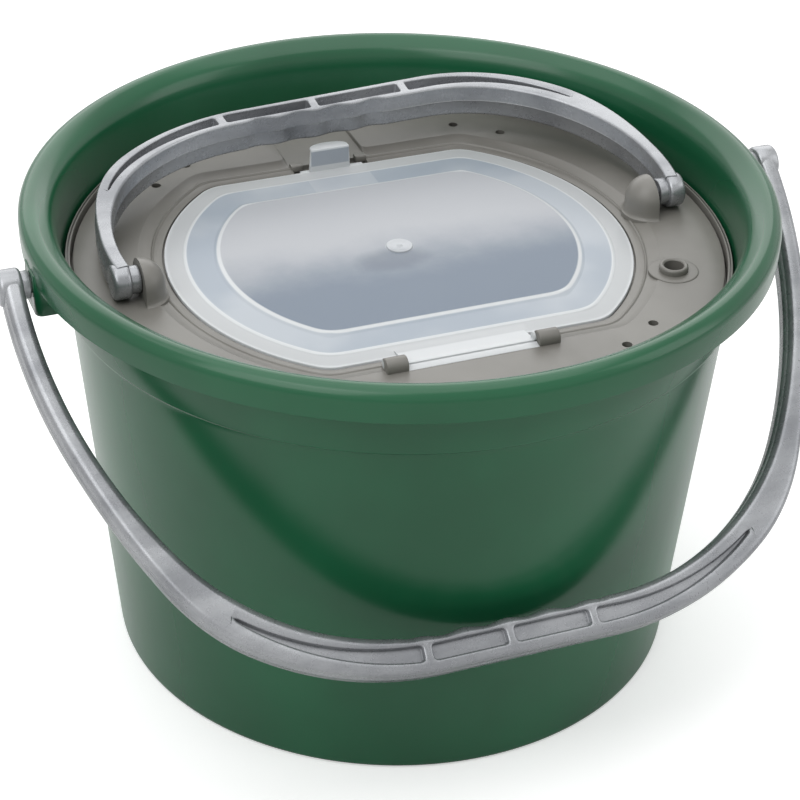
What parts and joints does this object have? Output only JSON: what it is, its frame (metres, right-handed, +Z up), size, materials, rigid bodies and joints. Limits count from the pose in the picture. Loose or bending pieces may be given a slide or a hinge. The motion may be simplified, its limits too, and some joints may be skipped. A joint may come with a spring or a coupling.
{
  "type": "aerated bait bucket",
  "caption": "Round bucket with a lift-out strainer basket, a vented deck with an air port and a hinged hatch, an outer carrying bail and an inner lifting bail.",
  "frame": {"origin": "on the bucket's axis at the plane it stands on", "axes": "+Z up, +X along both bails' pivots, -Y towards the hatch hinge and the hanging outer bail"},
  "size_m": [0.3304, 0.3, 0.198],
  "materials": {
    "bucket_plastic": "deep green, glossy",
    "bail_plastic": "silver grey, satin gloss",
    "deck_plastic": "warm grey, fine matte",
    "hatch_plastic": "milky clear, satin gloss"
  },
  "bodies": {
    "bucket": {"bucket": "bucket_plastic"},
    "outer_bail": {"outer_bail": "bail_plastic"},
    "insert": {"strainer_basket": "deck_plastic", "deck": "deck_plastic"},
    "inner_bail": {"inner_bail": "bail_plastic"},
    "hatch": {"hatch": "hatch_plastic"}
  },
  "joints": [
    {"name": "outer_bail_swing", "type": "hinge", "parent": "bucket", "child": "outer_bail", "pos_m": [0, 0, 0.182], "axis": [-1, 0, 0], "range_deg": [0, 256]},
    {"name": "insert_lift", "type": "slide", "parent": "bucket", "child": "insert", "axis": [0, 0, 1], "range_m": [0, 0.21]},
    {"name": "inner_bail_swing", "type": "hinge", "parent": "insert", "child": "inner_bail", "pos_m": [0, -0.004, 0.1788], "axis": [1, 0, 0], "range_deg": [0, 100]},
    {"name": "hatch_hinge", "type": "hinge", "parent": "insert", "child": "hatch", "pos_m": [0, -0.083, 0.1726], "axis": [1, 0, 0], "range_deg": [0, 130]}
  ]
}
